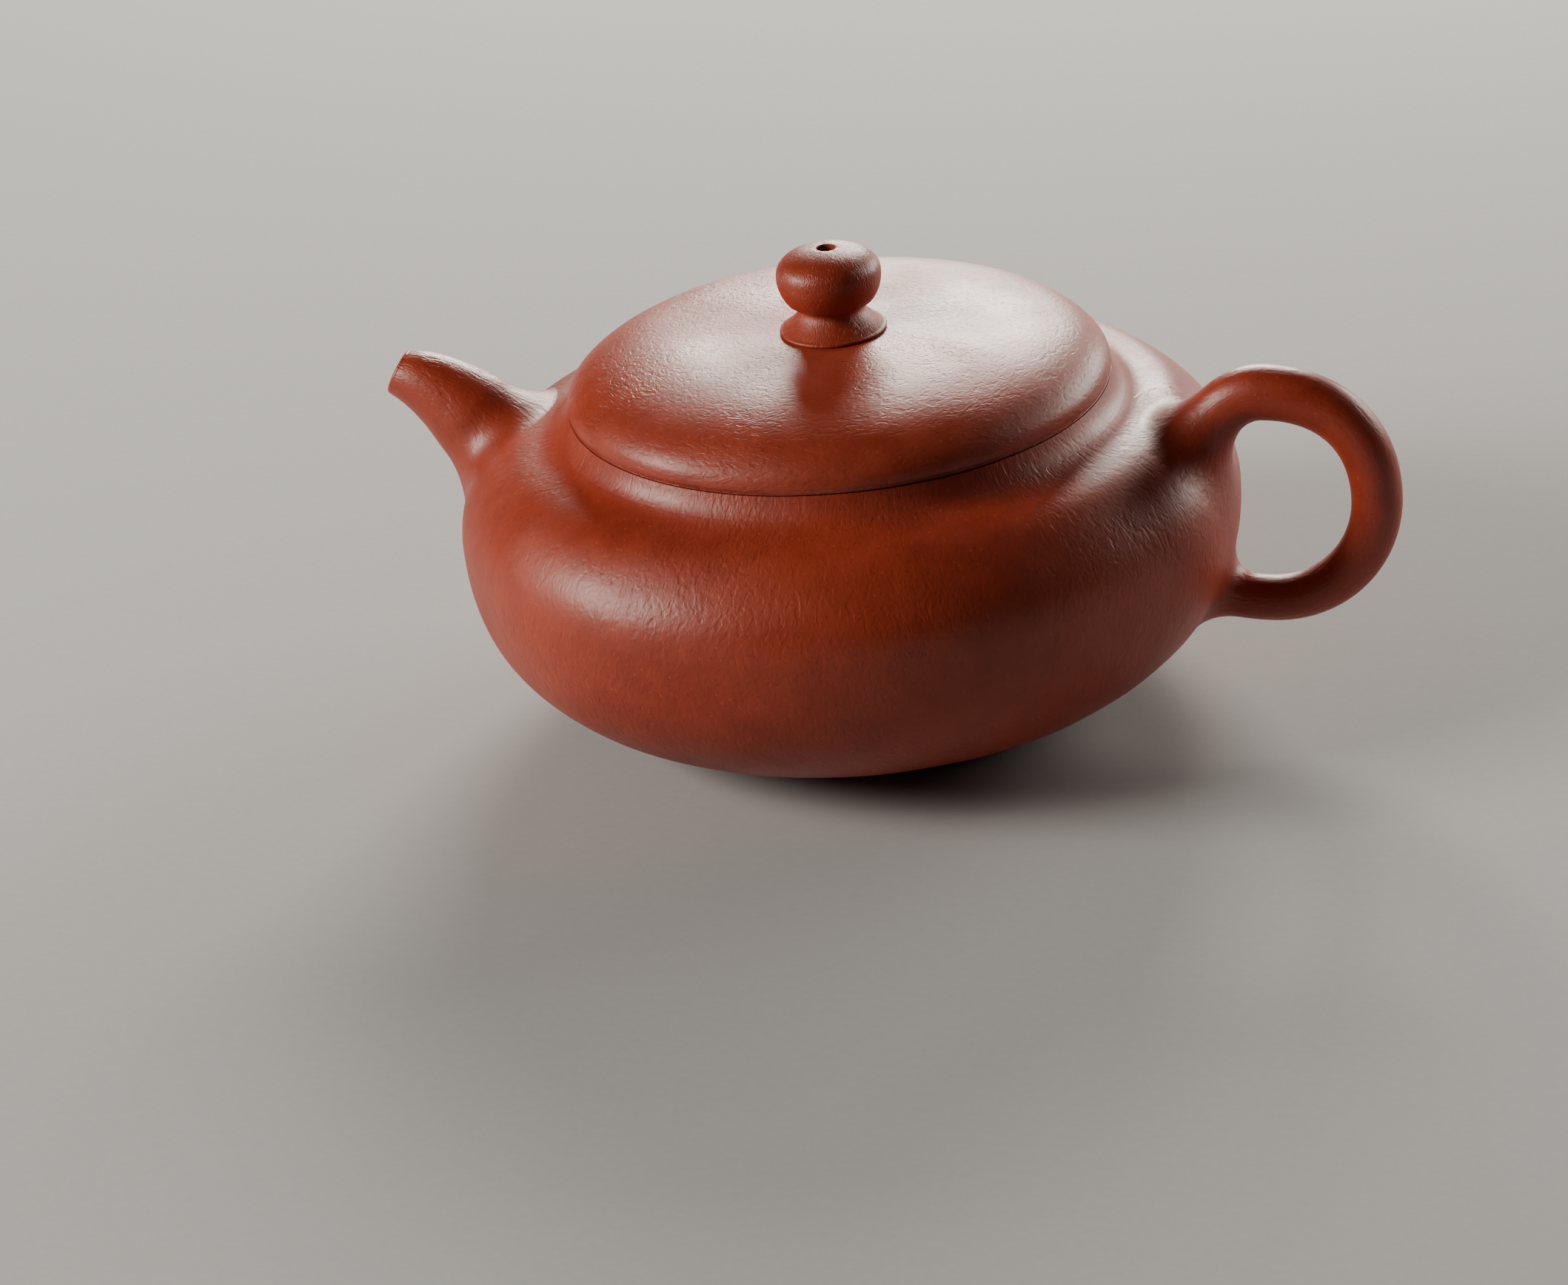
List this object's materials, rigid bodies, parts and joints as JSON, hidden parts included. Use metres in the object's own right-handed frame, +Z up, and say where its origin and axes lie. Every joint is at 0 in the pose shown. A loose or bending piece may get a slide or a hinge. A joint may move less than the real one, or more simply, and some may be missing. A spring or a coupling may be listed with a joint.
{
  "type": "clay teapot",
  "caption": "Small unglazed red clay teapot: squat round belly, flush pressed lid with ball knob and air hole, short bent spout, round ear handle; the lid lifts off and turns",
  "frame": {"origin": "centre of the foot's resting face, on the pot's axis", "axes": "+Z up the pot's axis, +X towards the handle, -X towards the spout, +Y to the right of someone holding the handle and pouring away from themselves"},
  "size_m": [0.132, 0.1, 0.0606],
  "materials": {
    "body_clay": "unglazed red clay, hand burnished to a soft satin",
    "lid_clay": "unglazed red clay, hand burnished to a soft satin",
    "foot_clay": "unglazed red clay, left a little rougher where it stands",
    "inner_clay": "unglazed red clay, scraped and left matt inside"
  },
  "bodies": {
    "pot": {"base_disc": "body_clay", "foot_ring": "foot_clay", "body_wall": "body_clay", "top_slab": "body_clay", "mouth_ring": "body_clay", "spout": "body_clay", "strainer": "inner_clay", "handle": "body_clay"},
    "seat": {"lid_flange": "inner_clay"},
    "lid": {"lid_plate": "lid_clay", "lid_dome": "lid_clay", "knob_collar": "lid_clay", "knob": "lid_clay"}
  },
  "joints": [
    {"name": "lid_lift", "type": "slide", "parent": "pot", "child": "seat", "axis": [0, 0, 1], "range_m": [0, 0.03]},
    {"name": "lid_turn", "type": "hinge", "parent": "seat", "child": "lid", "pos_m": [0, 0, 0.042], "axis": [0, 0, 1], "continuous": true}
  ]
}
